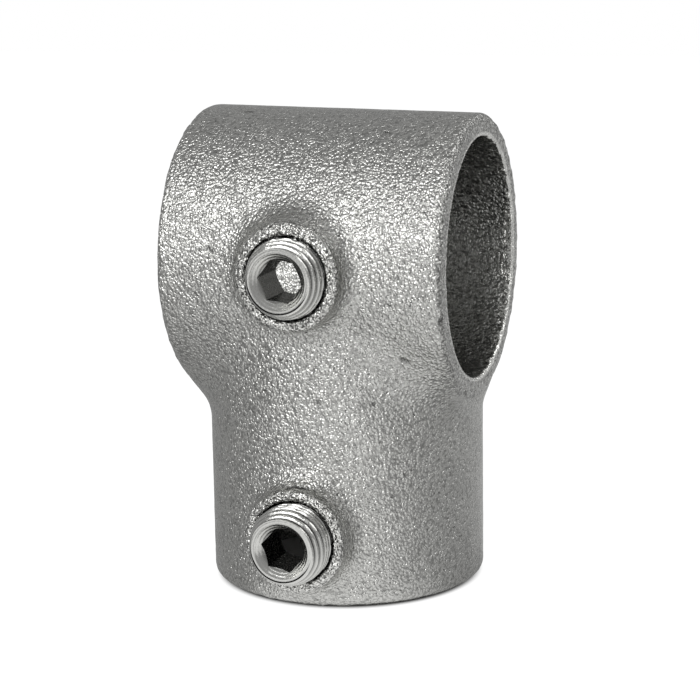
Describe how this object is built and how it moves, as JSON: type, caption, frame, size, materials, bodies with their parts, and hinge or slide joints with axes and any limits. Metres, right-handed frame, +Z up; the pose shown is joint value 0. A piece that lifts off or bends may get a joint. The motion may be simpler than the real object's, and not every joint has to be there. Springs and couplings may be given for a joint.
{
  "type": "right-angle tube connector",
  "caption": "Cast tee clamp for round tube: a through sleeve and a socket at right angles, each held by a hollow hexagon-socket set screw in a boss.",
  "frame": {"origin": "where the axis of the sleeve and the axis of the socket cross", "axes": "+X along the sleeve, +Z up, away from the socket's mouth, and both set screws face -Y"},
  "size_m": [0.06, 0.0707, 0.0993],
  "materials": {
    "galvanised_casting": "hot-dip galvanised, satin grey with a fine orange-peel skin",
    "plated_screw": "bright zinc plate, fine turned finish"
  },
  "bodies": {
    "tee": {"casting": "galvanised_casting"},
    "sleeve_screw": {"sleeve_set_screw": "plated_screw"},
    "socket_screw": {"socket_set_screw": "plated_screw"}
  },
  "joints": [
    {"name": "sleeve_screw_travel", "type": "slide", "parent": "tee", "child": "sleeve_screw", "axis": [0, 1, 0], "range_m": [-0.004, 0.0025]},
    {"name": "socket_screw_travel", "type": "slide", "parent": "tee", "child": "socket_screw", "axis": [0, 1, 0], "range_m": [-0.0025, 0.0039]}
  ]
}
